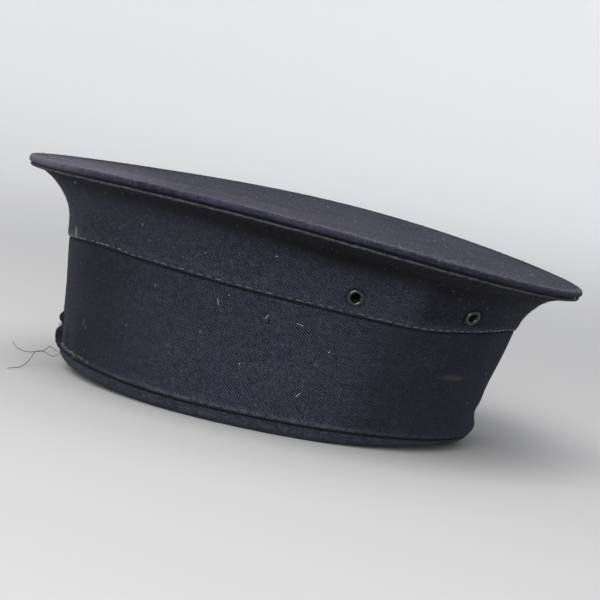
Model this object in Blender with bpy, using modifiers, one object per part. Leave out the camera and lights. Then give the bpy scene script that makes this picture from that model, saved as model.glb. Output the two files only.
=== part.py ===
"""Sailor's cap: cloth, with a flat top wider than its band, four vent eyelets and a bound lower edge."""

import math
from collections import namedtuple

import bpy
import numpy as np
from mathutils import Vector

# Sizes in metres. The front is -Y, the wearer's left is +X, and the lower edge stands on Z = 0.
HEAD_LENGTH = 0.2049  # lower edge of the band, front to rear
HEAD_WIDTH = 0.1752
HEAD_FORWARD = 0.0060  # its centre, ahead of the crown's
SEAM_EXTRA_LENGTH = 0.0151  # how far the band widens up to its seam
SEAM_EXTRA_WIDTH = 0.0088
SEAM_FORWARD = 0.0021
SEAM_HEIGHT = 0.0614
SEAM_DROP = 0.0037  # how far the seam falls towards the rear, from its mean
CROWN_LENGTH = 0.2724  # the flat top, over its edge roll
CROWN_WIDTH = 0.2574
CROWN_HEIGHT = 0.0933  # middle of the edge roll, on average round the cap
CROWN_DROP = 0.0078
CROWN_ARCH = 0.0033  # how far the edge roll rises at the sides and falls at front and rear
CROWN_WAVE = 0.0003
TOP_DISH = 0.0015  # how far the flat top sags in the middle

BINDING_HEIGHT = 0.0064
BINDING_TUCK = 0.0070  # how far its lower edge turns in
BINDING_SET_IN = 0.0006  # from the band's rolled edge
BINDING_WALL = 0.0022
BAND_WALL = 0.0024
BAND_ROLL = 0.0034  # height of the rolled lower edge
BAND_ROLL_DEPTH = 0.0005
CROWN_WALL = 0.0016
TOP_WALL = 0.0018
LAP_HEIGHT = 0.006  # how far the crown side laps over the band
LAP_STEP = 0.0009  # how far it stands proud of the band
EDGE_ROLL_HEIGHT = 0.0034
EDGE_ROLL_WIDTH = 0.0036
EDGE_ROLL_REACH = 0.0032  # from its outside to where the flat sheet starts
SHEET_RISE = 0.0010  # of the sheet's upper face over the middle of the roll
WELT_DIAMETER = 0.0013
WELT_INWARD = EDGE_ROLL_WIDTH / 2  # from the outside of the edge roll
HEM_ROUND = 0.0004
GAP = 0.0003  # kept between pieces
WELT_BELOW = EDGE_ROLL_HEIGHT / 2 + GAP + WELT_DIAMETER / 2  # from the middle of the edge roll
CROWN_SIDE_INWARD = WELT_INWARD + WELT_DIAMETER * 0.9 + GAP

EYELET_DIAMETER = 0.0080
EYELET_BORE = 0.0043
EYELET_METAL = 0.0004
EYELET_CROWN = 0.0009  # height of its rounded face
EYELET_BACK_DIAMETER = 0.0066
EYELET_BACK_ROLL = 0.0006

ROUND_STEPS = 64
EYELET_SIDES = 14

# How the cap's outlines differ from plain ovals.
HEAD_EGG = 0.077  # wider towards the rear
SEAM_SWAY = 0.0012

# The crown side from its seam to the edge roll: each height is a share of the way up, and each reach a share
# of the way out, at the front, the sides and the rear.
FlareRow = namedtuple("FlareRow", "height front side rear")
FLARE = (
    FlareRow(0.00, 0.00, 0.00, 0.00),
    FlareRow(0.22, 0.03, 0.04, 0.07),
    FlareRow(0.42, 0.10, 0.12, 0.17),
    FlareRow(0.60, 0.24, 0.26, 0.30),
    FlareRow(0.75, 0.42, 0.43, 0.44),
    FlareRow(0.87, 0.62, 0.62, 0.63),
    FlareRow(0.96, 0.85, 0.84, 0.88),
    FlareRow(1.00, 1.00, 1.00, 1.00),
)
REAR_FLARE_FROM, REAR_FLARE_FULL = 0.50, 0.82  # cosines of the angle from the rear
FRONT_FLARE_FROM, FRONT_FLARE_FULL = 0.20, 0.95

# The binding's outer face: height as a share of its height, tuck as a share of its tuck.
BindingRow = namedtuple("BindingRow", "height tuck")
BINDING = (
    BindingRow(1.00, 0.00),
    BindingRow(0.66, -0.03),
    BindingRow(0.34, 0.12),
    BindingRow(0.10, 0.38),
    BindingRow(0.00, 0.66),
    BindingRow(0.00, 1.00),
)

# The flat top's rings, as shares of the way from its middle to the edge roll, and the roll's section.
TOP_RINGS = (0.30, 0.58, 0.82)
TOP_UNDER_RINGS = (0.99, 0.50)
EDGE_ROLL_TURNS = (140, 100, 60, 20, -20, -60, -100, -140)  # degrees, 0 at its outermost

# The band's outer face: height as a share of the way from the roll's top to the seam.
BAND_RINGS = (0.0, 0.32, 0.66)

# Soft dents and swellings of the wall. Angles are degrees from the rear, and each holds on both sides.
Dent = namedtuple("Dent", "angle angle_spread height height_spread out lift")
CROWN_DENTS = (
    Dent(angle=14, angle_spread=12, height=0.0, height_spread=0.45, out=0.0, lift=0.0012),
    Dent(angle=47, angle_spread=10, height=0.0, height_spread=0.45, out=0.0, lift=-0.0010),
    Dent(angle=74, angle_spread=14, height=0.0, height_spread=0.45, out=0.0, lift=0.0005),
    Dent(angle=135, angle_spread=12, height=0.0, height_spread=0.45, out=0.0, lift=0.0008),
    Dent(angle=42, angle_spread=10, height=0.45, height_spread=0.25, out=-0.0012, lift=0.0),
)
BAND_DENTS = (
    Dent(angle=24, angle_spread=12, height=0.02, height_spread=0.06, out=0.0008, lift=0.0),
    Dent(angle=100, angle_spread=22, height=0.5, height_spread=0.3, out=-0.0007, lift=0.0),
    Dent(angle=14, angle_spread=12, height=1.0, height_spread=0.3, out=0.0, lift=0.0012),
    Dent(angle=47, angle_spread=10, height=1.0, height_spread=0.3, out=0.0, lift=-0.0010),
    Dent(angle=74, angle_spread=14, height=1.0, height_spread=0.3, out=0.0, lift=0.0005),
    Dent(angle=135, angle_spread=12, height=1.0, height_spread=0.3, out=0.0, lift=0.0008),
)

# Each vent eyelet: its angle in degrees from the rear, and its height above the seam.
Eyelet = namedtuple("Eyelet", "name angle height")
EYELETS = (
    Eyelet("side", 65.8, 0.0080),
    Eyelet("rear", 33.5, 0.0076),
)

# An eyelet's rounded face: how far out as a share of the way from bore to rim, and its rise as a share of
# the face's crown.
FaceRow = namedtuple("FaceRow", "out rise")
EYELET_FACE = (
    FaceRow(0.00, 0.50),
    FaceRow(0.22, 1.00),
    FaceRow(0.57, 0.80),
    FaceRow(1.00, 0.25),
    FaceRow(1.00, 0.00),
)

Loop = namedtuple("Loop", "half_length half_width forward egg height drop arch sway wave")
HEAD_LOOP = Loop(HEAD_LENGTH / 2, HEAD_WIDTH / 2, HEAD_FORWARD, HEAD_EGG, 0.0, 0.0, 0.0, 0.0, 0.0)
SEAM_LOOP = Loop(
    (HEAD_LENGTH + SEAM_EXTRA_LENGTH) / 2,
    (HEAD_WIDTH + SEAM_EXTRA_WIDTH) / 2,
    SEAM_FORWARD,
    0.0,
    SEAM_HEIGHT,
    SEAM_DROP,
    0.0,
    SEAM_SWAY,
    0.0,
)
CROWN_LOOP = Loop(
    CROWN_LENGTH / 2,
    CROWN_WIDTH / 2,
    0.0,
    0.0,
    CROWN_HEIGHT,
    CROWN_DROP,
    CROWN_ARCH,
    0.0,
    CROWN_WAVE,
)
ROUND_ANGLES = np.arange(ROUND_STEPS) * 2 * math.pi / ROUND_STEPS


def loop_points(loop, angles, offset=0.0, raised=0.0):
    """Points of a loop, moved out by offset and up by raised. Angles turn from the rear to the left."""
    along = np.cos(angles)
    height = loop.height - loop.drop * along - loop.arch * np.cos(2 * angles)
    height = height + loop.sway * np.cos(3 * angles) + loop.wave * np.cos(4 * angles) + raised
    across = (loop.half_width + offset) * np.sin(angles) * (1 + loop.egg * along)
    return np.stack([across, (loop.half_length + offset) * along - loop.forward, height], axis=-1)


def smooth_step(value, low, high):
    share = np.clip((value - low) / (high - low), 0, 1)
    return share * share * (3 - 2 * share)


def dents_at(dents, angles, height):
    """How far the dents move the wall out and up, at a height that is a share of the wall's."""
    turn = np.degrees(np.abs((angles + math.pi) % (2 * math.pi) - math.pi))
    out, lift = np.zeros_like(angles), np.zeros_like(angles)
    for dent in dents:
        near = np.exp(-(((turn - dent.angle) / dent.angle_spread) ** 2))
        near = near * math.exp(-(((height - dent.height) / dent.height_spread) ** 2))
        out += dent.out * near
        lift += dent.lift * near
    return out, lift


def crown_top_end(angles):
    """Where the crown side's outer face ends, just inside the welt and below the edge roll."""
    return loop_points(CROWN_LOOP, angles, -CROWN_SIDE_INWARD, -WELT_BELOW)


def crown_side_points(angles, height):
    """The crown side's outer face at a share of its height."""
    low = loop_points(SEAM_LOOP, angles, LAP_STEP)
    high = crown_top_end(angles)
    heights = [row.height for row in FLARE]
    front = np.interp(height, heights, [row.front for row in FLARE])
    side = np.interp(height, heights, [row.side for row in FLARE])
    rear = np.interp(height, heights, [row.rear for row in FLARE])
    to_rear = smooth_step(np.cos(angles), REAR_FLARE_FROM, REAR_FLARE_FULL)
    to_front = smooth_step(-np.cos(angles), FRONT_FLARE_FROM, FRONT_FLARE_FULL)
    reach = side + (rear - side) * to_rear + (front - side) * to_front
    out, lift = dents_at(CROWN_DENTS, angles, height)
    points = low + (high - low) * reach[:, None]
    points[:, 2] = low[:, 2] + (high[:, 2] - low[:, 2]) * height + lift
    points[:, 0] += out * np.sin(angles)
    points[:, 1] += out * np.cos(angles)
    return points


def band_points(angles, height, offset=0.0, raised=0.0):
    """The band's outer face at a share of the way from its lower edge to the seam."""
    low = loop_points(HEAD_LOOP, angles, offset, BINDING_HEIGHT + GAP)
    high = loop_points(SEAM_LOOP, angles, offset)
    out, lift = dents_at(BAND_DENTS, angles, height)
    points = low + (high - low) * height
    points[:, 0] += out * np.sin(angles)
    points[:, 1] += out * np.cos(angles)
    points[:, 2] += lift + raised
    return points


def made_material(name, colour, roughness, metallic=0.0):
    material = bpy.data.materials.new(name)
    material.use_nodes = True
    shader = material.node_tree.nodes["Principled BSDF"]
    shader.inputs["Base Color"].default_value = (*colour, 1)
    shader.inputs["Roughness"].default_value = roughness
    shader.inputs["Metallic"].default_value = metallic
    return material


def made_object(name, mesh, collection, material=None):
    made = bpy.data.objects.new(name, mesh)
    collection.objects.link(made)
    if material:
        mesh.materials.append(material)
        mesh.shade_smooth()
        mesh.set_sharp_from_angle(angle=math.radians(40))
    return made


def loft_mesh(name, rows, middles=()):
    """A mesh through equal rings of points. Where middles are given, fans close its first and last rings."""
    steps = len(rows[0])
    points = np.concatenate([*rows, *middles])
    faces = []
    for low in range(0, (len(rows) - 1) * steps, steps):
        for step in range(steps):
            after = (step + 1) % steps
            faces.append((low + step, low + steps + step, low + steps + after, low + after))
    if middles:
        count = len(rows) * steps
        last = count - steps
        for step in range(steps):
            after = (step + 1) % steps
            faces.append((step, after, count))
            faces.append((last + after, last + step, count + 1))
    mesh = bpy.data.meshes.new(name)
    mesh.from_pydata(points.tolist(), [], faces)
    return mesh


def solidify(piece, wall, rounding):
    """Gives an open outer face its wall, inwards, and rounds the wall's cut edges."""
    shell = piece.modifiers.new("wall", "SOLIDIFY")
    shell.thickness = wall
    shell.offset = -1
    shell.use_even_offset = True
    edges = piece.modifiers.new("edges", "BEVEL")
    edges.width = rounding
    edges.segments = 1
    edges.limit_method = "ANGLE"
    edges.angle_limit = math.radians(65)


def make_binding(collection, material):
    rows = []
    for row in reversed(BINDING):
        offset = -BINDING_SET_IN - BINDING_TUCK * row.tuck
        rows.append(loop_points(HEAD_LOOP, ROUND_ANGLES, offset, BINDING_HEIGHT * row.height))
    piece = made_object("base_binding", loft_mesh("base_binding", rows), collection, material)
    solidify(piece, BINDING_WALL, HEM_ROUND)
    return piece


def make_band(collection, material):
    """The upright wall: a rolled edge below, and above it a shoulder that the crown side laps over."""
    set_in = GAP + CROWN_WALL - LAP_STEP
    roll_top = BAND_ROLL / (SEAM_HEIGHT - BINDING_HEIGHT - GAP)
    rows = [
        band_points(ROUND_ANGLES, 0.0, -BAND_ROLL_DEPTH),
        band_points(ROUND_ANGLES, roll_top / 2, BAND_ROLL_DEPTH),
    ]
    rows += [band_points(ROUND_ANGLES, roll_top + (1 - roll_top) * share) for share in BAND_RINGS]
    rows += [
        band_points(ROUND_ANGLES, 1.0, 0.0, -GAP - set_in),
        band_points(ROUND_ANGLES, 1.0, -set_in, -GAP),
        band_points(ROUND_ANGLES, 1.0, -set_in, LAP_HEIGHT),
    ]
    piece = made_object("band", loft_mesh("band", rows), collection, material)
    solidify(piece, BAND_WALL, HEM_ROUND)
    return piece


def make_crown_side(collection, material, cutters):
    rows = [crown_side_points(ROUND_ANGLES, row.height) for row in FLARE]
    piece = made_object("crown_side", loft_mesh("crown_side", rows), collection, material)
    solidify(piece, CROWN_WALL, HEM_ROUND)
    for cutter in cutters:
        cut = piece.modifiers.new(cutter.name, "BOOLEAN")
        cut.operation = "DIFFERENCE"
        cut.object = cutter
    return piece


def make_crown_top(collection, material):
    """The flat top: a sagging sheet whose edge is rolled, as rings from its middle out, round and back."""
    rim = loop_points(CROWN_LOOP, ROUND_ANGLES, -EDGE_ROLL_REACH)
    middle = rim.mean(axis=0)

    def ring(share, raised):
        points = middle + (rim - middle) * share
        points[:, 2] += raised - TOP_DISH * (1 - share * share)
        return points

    rows = [ring(share, SHEET_RISE) for share in TOP_RINGS]
    for turn in np.radians(EDGE_ROLL_TURNS):
        offset = EDGE_ROLL_WIDTH / 2 * (math.cos(turn) - 1)
        rows.append(loop_points(CROWN_LOOP, ROUND_ANGLES, offset, EDGE_ROLL_HEIGHT / 2 * math.sin(turn)))
    rows += [ring(share, SHEET_RISE - TOP_WALL) for share in TOP_UNDER_RINGS]
    middles = [middle[None] + (0, 0, SHEET_RISE - TOP_DISH - wall) for wall in (TOP_WALL, 0)]
    return made_object("crown_top", loft_mesh("crown_top", rows[::-1], middles), collection, material)


def make_welt(collection, material):
    """The thin corded edge between the crown side and the edge roll."""
    data = bpy.data.curves.new("rim_welt", "CURVE")
    data.dimensions = "3D"
    data.bevel_depth = WELT_DIAMETER / 2
    data.bevel_resolution = 1
    points = loop_points(CROWN_LOOP, ROUND_ANGLES, -WELT_INWARD, -WELT_BELOW)
    spline = data.splines.new("POLY")
    spline.points.add(len(points) - 1)
    spline.points.foreach_set("co", np.column_stack([points, np.ones(len(points))]).ravel())
    spline.use_cyclic_u = True
    data.materials.append(material)
    piece = bpy.data.objects.new("rim_welt", data)
    collection.objects.link(piece)
    return piece


def eyelet_place(side, eyelet):
    """The middle of an eyelet on the crown side's outer face, and the way that the face looks there."""
    angle = math.radians(eyelet.angle) * side
    around = np.array([angle - 0.02, angle, angle + 0.02])
    low, high = loop_points(SEAM_LOOP, around, LAP_STEP), crown_top_end(around)
    share = eyelet.height / (high[1, 2] - low[1, 2])
    here = crown_side_points(around, share)
    above = crown_side_points(around, share + 0.08)[1]
    below = crown_side_points(around, share - 0.08)[1]
    facing = Vector(here[2] - here[0]).cross(Vector(above - below)).normalized()
    if facing.xy.dot(Vector(here[1]).xy) < 0:
        facing.negate()
    return Vector(here[1]), facing


def turned(name, collection, profile, material):
    """A ring turned about its own Z axis from a closed profile of radius and height."""
    mesh = bpy.data.meshes.new(name)
    count = len(profile)
    points = [(radius, 0, height) for radius, height in profile]
    mesh.from_pydata(points, [(step, (step + 1) % count) for step in range(count)], [])
    piece = made_object(name, mesh, collection)
    mesh.materials.append(material)
    screw = piece.modifiers.new("turn", "SCREW")
    screw.steps = screw.render_steps = EYELET_SIDES
    screw.use_smooth_shade = True
    screw.use_merge_vertices = True
    screw.merge_threshold = 0.00001
    return piece


def make_eyelet(name, collection, material, place):
    """A rolled ring whose face and back hold the cloth between them, joined by a barrel."""
    bore, face, back = EYELET_BORE / 2, EYELET_DIAMETER / 2, EYELET_BACK_DIAMETER / 2
    barrel = bore + EYELET_METAL
    seat, inside = GAP, -CROWN_WALL - GAP
    profile = [(bore + (face - bore) * row.out, seat + EYELET_CROWN * row.rise) for row in EYELET_FACE]
    profile += [
        (barrel, seat),
        (barrel, inside),
        (back, inside),
        (back - EYELET_METAL, inside - EYELET_BACK_ROLL),
        (bore, inside - EYELET_BACK_ROLL),
    ]
    piece = turned(name, collection, profile, material)
    middle, facing = place
    piece.location = middle
    piece.rotation_euler = facing.to_track_quat("Z", "Y").to_euler()
    return piece


def make_cutter(name, collection, place):
    """The round hole that an eyelet's barrel goes through."""
    middle, facing = place
    bpy.ops.mesh.primitive_cylinder_add(
        vertices=EYELET_SIDES,
        radius=EYELET_BORE / 2 + EYELET_METAL + GAP,
        depth=CROWN_WALL * 6,
        location=middle,
        rotation=facing.to_track_quat("Z", "Y").to_euler(),
    )
    cutter = bpy.context.object
    cutter.name = name
    for owner in list(cutter.users_collection):
        owner.objects.unlink(cutter)
    collection.objects.link(cutter)
    cutter.hide_render = True
    cutter.display_type = "WIRE"
    return cutter


def main():
    for old in list(bpy.data.objects):
        bpy.data.objects.remove(old)
    cap = bpy.data.collections.new("sailor_cap")
    cutters = bpy.data.collections.new("cutters")
    bpy.context.scene.collection.children.link(cap)
    bpy.context.scene.collection.children.link(cutters)
    cloth = (0.014, 0.015, 0.028)
    places = {}
    for side_name, side in (("left", 1), ("right", -1)):
        for eyelet in EYELETS:
            places[f"{side_name}_{eyelet.name}"] = eyelet_place(side, eyelet)
    holes = [make_cutter(f"hole_{name}", cutters, place) for name, place in places.items()]
    make_binding(cap, made_material("binding_cloth", cloth, 0.85))
    make_band(cap, made_material("band_cloth", cloth, 0.88))
    make_crown_side(cap, made_material("crown_cloth", cloth, 0.88), holes)
    make_crown_top(cap, made_material("top_cloth", (0.02, 0.02, 0.034), 0.85))
    make_welt(cap, made_material("welt_cloth", cloth, 0.85))
    for name, place in places.items():
        metal = made_material(f"eyelet_metal_{name}", (0.03, 0.032, 0.035), 0.35, 0.9)
        make_eyelet(f"eyelet_{name}", cap, metal, place)


main()
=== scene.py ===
import math

import bpy
import numpy as np
from mathutils import Matrix, Vector


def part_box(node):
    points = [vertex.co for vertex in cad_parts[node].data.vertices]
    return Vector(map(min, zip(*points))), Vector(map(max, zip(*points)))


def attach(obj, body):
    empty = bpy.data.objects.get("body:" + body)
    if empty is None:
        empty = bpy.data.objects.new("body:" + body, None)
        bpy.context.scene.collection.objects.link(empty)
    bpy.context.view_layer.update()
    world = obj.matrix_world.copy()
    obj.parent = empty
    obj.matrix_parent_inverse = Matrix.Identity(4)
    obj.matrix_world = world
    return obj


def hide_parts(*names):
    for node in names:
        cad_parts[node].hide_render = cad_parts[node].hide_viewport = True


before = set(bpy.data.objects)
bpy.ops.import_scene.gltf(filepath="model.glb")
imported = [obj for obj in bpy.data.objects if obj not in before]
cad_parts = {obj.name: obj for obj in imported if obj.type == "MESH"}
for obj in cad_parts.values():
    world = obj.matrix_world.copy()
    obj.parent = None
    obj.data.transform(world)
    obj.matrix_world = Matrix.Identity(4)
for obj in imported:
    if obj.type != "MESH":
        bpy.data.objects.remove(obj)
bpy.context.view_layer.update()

# A cloth sailor cap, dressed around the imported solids. Lengths are in metres. Angles run from the cap's rear
# round by the wearer's left, and its front is -Y.
rng = np.random.default_rng(1921)
fullTurn = 2 * math.pi


# Node maths for materials

class Link:
    # a socket of a shader tree that takes part in arithmetic; numbers alone are worked out in Python
    def __init__(self, tree, socket=None):
        self.tree = tree
        self.socket = socket

    def node(self, kind, settings=None, sockets=None, out=0):
        # any node: its settings go first, then the values or links of its sockets
        made = self.tree.nodes.new(kind)
        for name, value in (settings or {}).items():
            setattr(made, name, value)
        for name, value in (sockets or {}).items():
            if isinstance(value, Link):
                self.tree.links.new(value.socket, made.inputs[name])
            else:
                made.inputs[name].default_value = value
        return Link(self.tree, made.outputs[out])

    def maths(self, operation, *values):
        return self.node("ShaderNodeMath", {"operation": operation}, dict(enumerate(values)))

    def __add__(self, other):
        return self.maths("ADD", self, other)

    def __sub__(self, other):
        return self.maths("SUBTRACT", self, other)

    def __rsub__(self, other):
        return self.maths("SUBTRACT", other, self)

    def __mul__(self, other):
        return self.maths("MULTIPLY", self, other)

    __radd__ = __add__
    __rmul__ = __mul__

    def wave(self, pitch):
        # a sine along the value, one turn for each pitch, between 0 and 1
        return self.maths("SINE", self * (fullTurn / pitch)) * 0.5 + 0.5

    def between(self, low, high):
        # 0 below low and 1 above high, with a smooth step between them
        return self.node("ShaderNodeMapRange", {"interpolation_type": "SMOOTHSTEP"},
                         {"Value": self, "From Min": low, "From Max": high})

    def tinted(self, low, high):
        # the colour low where this value is 0, and high where it is 1
        ends = [tint if isinstance(tint, Link) else (*tint, 1) for tint in (low, high)]
        return self.node("ShaderNodeMix", {"data_type": "RGBA"}, {0: self, 6: ends[0], 7: ends[1]}, 2)

    def noise(self, scale, detail=2.0, rough=0.5):
        # this socket is the place that the noise is read at
        return self.node("ShaderNodeTexNoise", {}, {"Vector": self, "Scale": scale, "Detail": detail,
                                                    "Roughness": rough})

    def vector(self, operation, *values, out=0):
        sockets = dict(enumerate((self, *values)))
        return self.node("ShaderNodeVectorMath", {"operation": operation}, sockets, out)

    def attribute(self, name):
        return self.node("ShaderNodeAttribute", {"attribute_name": name}, {}, 2)

    def objectPlace(self):
        return self.node("ShaderNodeTexCoord", {}, {}, 3)

    def bump(self, strength, distance):
        # this socket is the height
        return self.node("ShaderNodeBump", {}, {"Strength": strength, "Distance": distance, "Height": self})


def newMaterial(name):
    # a material with a fresh shader, and a link to start its maths from
    material = bpy.data.materials.new(name)
    material.use_nodes = True
    return material, Link(material.node_tree)


def finished(material, sockets):
    # gives the shader's sockets their links or fixed values
    shader = material.node_tree.nodes["Principled BSDF"]
    for name, value in sockets.items():
        if isinstance(value, Link):
            material.node_tree.links.new(value.socket, shader.inputs[name])
        else:
            shader.inputs[name].default_value = value
    return material


# Serge: steep twill lines, mottled wool and worn edges. It reads the piece's own UV map, in metres round and
# up the cloth, its wear attribute, partly painted light on the edge roll and the welt, and its attribute of
# painted shade. Sines along two turned directions of that map make the twill and the yarns.
sergeLook = {
    "twillPitch": 0.00095, "twillTurn": -36.0, "yarnPitch": 0.0013, "stray": 0.00014, "contrast": 1.45,
    "dark": (0.0010, 0.0012, 0.0024), "light": (0.0245, 0.0275, 0.0420), "warm": (0.0135, 0.0110, 0.0155),
    "worn": (0.062, 0.062, 0.072), "dust": (0.052, 0.051, 0.056), "paintedShade": (0.0008, 0.0008, 0.0011),
    "roughness": 0.90, "sheen": 0.03, "bump": 0.00016, "coarse": 0.35, "stains": (),
}


def serge(name, **changes):
    look = {**sergeLook, **changes}
    material, start = newMaterial(name)
    place = start.node("ShaderNodeUVMap", {"uv_map": "cloth"})
    flat = place.node("ShaderNodeSeparateXYZ", {}, {"Vector": place})
    along, across = flat, Link(flat.tree, flat.socket.node.outputs[1])

    # yarns wander a little off their line
    stray = place.noise(500.0, 1.0) * look["stray"] + place.noise(40.0, 2.0) * (look["stray"] * 8)
    turn = math.radians(look["twillTurn"])
    line = along * math.sin(turn) + across * math.cos(turn) + stray
    length = across * math.sin(turn) - along * math.cos(turn) + stray
    wale = line.wave(look["twillPitch"])
    weave = wale * 0.74 + (length + line * 0.6).wave(look["yarnPitch"]) * 0.26

    # patches of clearer weave, mottled wool and single pale fibres
    broad = place.noise(26.0, 3.0, 0.6)
    patch = place.noise(55.0, 2.0).between(0.36, 0.66)
    mottle = place.noise(330.0, 4.0, 0.65)
    grain = place.noise(1150.0, 2.0, 0.75)
    fleck = grain.between(0.57, 0.74) * mottle.between(0.40, 0.65)
    clear = (patch * 0.75 + 0.25) * look["contrast"]
    tone = (weave - 0.5) * clear + (mottle - 0.5) * 0.9 + (grain - 0.5) * 2.0
    tone = tone + (broad - 0.5) * look["coarse"] + 0.45
    cloth = tone.between(-0.25, 1.25).tinted(look["dark"], look["light"])
    cloth = (broad.between(0.50, 0.72) * 0.35).tinted(cloth, look["warm"])

    # dust settled in patches, and the nap rubbed pale along the edges; on the edge roll and the welt the wear
    # attribute also lays on painted light
    dust = place.noise(70.0, 4.0, 0.7).between(0.50, 0.78) * 0.20 * mottle.between(0.35, 0.7) + fleck * 0.42
    cloth = dust.tinted(cloth, look["dust"])
    rubbedAndLit = start.attribute("wear") * (mottle.between(0.38, 0.60) * 0.5 + grain.between(0.40, 0.62) * 0.5)
    cloth = rubbedAndLit.tinted(cloth, look["worn"])
    # painted shade: the cloth is darkened towards near black where the painted shade attribute is high
    cloth = start.attribute("paintedShade").tinted(cloth, look["paintedShade"])

    # old stains and patches of painted light and shade, each a soft oval broken up by the wool
    for centre, sizes, tint, strength in look["stains"]:
        far = start.objectPlace().vector("SUBTRACT", centre).vector("DIVIDE", sizes).vector("LENGTH", out=1)
        spot = (1 - far.between(0.25, 1.0)) * (mottle.between(0.34, 0.60) * 0.45 + 0.55) * strength
        cloth = spot.tinted(cloth, tint)

    relief = weave * clear * 1.2 + grain * 0.8 + mottle * 1.4
    return finished(material, {
        "Base Color": cloth, "Roughness": mottle * 0.10 + (look["roughness"] - 0.05),
        "Normal": relief.bump(0.7, look["bump"]), "Sheen Weight": look["sheen"], "Sheen Roughness": 0.5,
        "Sheen Tint": (0.60, 0.63, 0.74, 1), "Specular IOR Level": 0.06})


# The binding's sizes. Its section is given by heights and depths, from the band down and under.
bindingLook = {"height": 0.0064, "tuck": 0.0070, "setIn": 0.0006, "wall": 0.0022, "bulge": 0.0002,
               "egg": 0.077, "frontClimb": 0.0035, "climbFrom": (98, 160), "rearTrim": 0.0030,
               "trimFrom": (26, 66),
               "waves": [(13, 0.4, 0.00009, 0.2), (37, 0.2, 0.00005, 1.2)],
               "wear": (0.30, 0.0030, 0.0016), "paintedShade": (0.85, 0.86, 1.0),
               "heightRows": (1.00, 0.84, 0.66, 0.48, 0.32, 0.19, 0.09, 0.025, 0.0, 0.0),
               "tuckRows": (0.02, 0.01, 0.06, 0.15, 0.26, 0.37, 0.47, 0.57, 0.68, 1.00)}
gap = 0.0003


def ovalLoop(node, shrink=0.0, egg=0.0, **waves):
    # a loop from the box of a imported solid: half its length and half its width, less what it shrinks by,
    # and how far ahead its middle lies; its height is wavy
    low, high = (np.array(corner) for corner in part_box(node))
    half = (high - low) / 2
    return {"halfLength": half[1] - shrink, "halfWidth": half[0] / (1 + egg ** 2 / 2) - shrink,
            "forward": -(low[1] + high[1]) / 2, "egg": egg,
            "height": 0.0, "drop": 0.0, "arch": 0.0, "sway": 0.0, "wave": 0.0, **waves}


headLoop = ovalLoop("base_binding", bindingLook["bulge"] - bindingLook["setIn"], bindingLook["egg"])
seamLoop = ovalLoop("band", height=0.0614, drop=0.0037, sway=0.0012)
crownLoop = ovalLoop("crown_top", height=0.0933, drop=0.0078, arch=0.0033, wave=0.0003)


def loopPoints(loop, angles, offset=0.0, raised=0.0):
    # across = half width by sine, with a slight egg shape; along = half length by cosine; the height has
    # one, two, three and four waves round the loop
    along = np.cos(angles)
    height = loop["height"] - loop["drop"] * along - loop["arch"] * np.cos(2 * angles)
    height = height + loop["sway"] * np.cos(3 * angles) + loop["wave"] * np.cos(4 * angles) + raised
    across = (loop["halfWidth"] + offset) * np.sin(angles) * (1 + loop["egg"] * along)
    ahead = (loop["halfLength"] + offset) * along - loop["forward"]
    return np.stack(np.broadcast_arrays(across, ahead, height), axis=-1)


def turnedFromRear(angles):
    # how far round from the rear, in degrees, the same on both sides
    return np.degrees(np.abs((angles + math.pi) % fullTurn - math.pi))


def smoothStep(value, low, high):
    # 0 below low and 1 above high; between them, three squares less two cubes of the share
    share = np.clip((value - low) / (high - low), 0, 1)
    return share * share * (3 - 2 * share)


def bell(value, middle, spread):
    # 1 at the middle, falling off with the square of the distance over the spread
    return np.exp(-((value - middle) / spread) ** 2)


def ramped(value, strength, low, high):
    # a strength times a smooth step; it runs downwards when low is above high
    return strength * smoothStep(value, low, high)


def humped(value, strength, middle, spread):
    # a strength times a bell
    return strength * bell(value, middle, spread)


def softRows(shares, places, values):
    # a smooth curve through a short table: cubic steps whose slopes are those between the neighbours
    places, values = np.asarray(places, float), np.asarray(values, float)
    slopes = np.gradient(values, places)
    index = np.clip(np.searchsorted(places, shares, side="right") - 1, 0, len(places) - 2)
    width = places[index + 1] - places[index]
    part = np.clip((shares - places[index]) / width, 0, 1)
    square, cube = part ** 2, part ** 3
    return (values[index] * (2 * cube - 3 * square + 1) + slopes[index] * width * (cube - 2 * square + part)
            + values[index + 1] * (3 * square - 2 * cube) + slopes[index + 1] * width * (cube - square))


def edgeClimb(angles):
    # the lower edge climbs a little at the front, where the cap stands clear of what it rests on
    return bindingLook["frontClimb"] * smoothStep(turnedFromRear(angles), *bindingLook["climbFrom"])


def unit(vectors):
    # each vector over its own length
    return vectors / np.maximum(np.linalg.norm(vectors, axis=-1, keepdims=True), 1e-12)


def levelOut(points):
    # level directions away from the cap's middle line
    return unit(points * (1, 1, 0))


def levelRound(angles):
    # level directions out at the given angles, and round the cap
    return (np.stack([np.sin(angles), np.cos(angles), 0 * angles], axis=-1),
            np.stack([np.cos(angles), -np.sin(angles), 0 * angles], axis=-1))


def waver(angles, shares, waves):
    # gentle unevenness: a few crossed cosines of angle and height, from a table of their counts and depths
    total = np.zeros(np.broadcast(angles, shares).shape)
    for count, rise, depth, phase in waves:
        total = total + depth * np.cos(count * angles + rise * shares * fullTurn + phase)
    return total


def dented(points, look, angles, shares):
    # points moved out and up by soft bumps, each a bell in angle (both sides of the cap) and in height, and
    # out by gentle waves
    out = 0
    for angle, angleSpread, height, heightSpread, outward, upward in look["dents"]:
        near = bell(turnedFromRear(angles), angle, angleSpread) * bell(shares, height, heightSpread)
        out = out + outward * near
        points[..., 2] += upward * near
    out = out + waver(angles, shares, look["waves"]) * np.sin(np.clip(shares, 0, 1) * math.pi)
    points[..., 0] += out * np.sin(angles)
    points[..., 1] += out * np.cos(angles)
    return points


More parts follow.
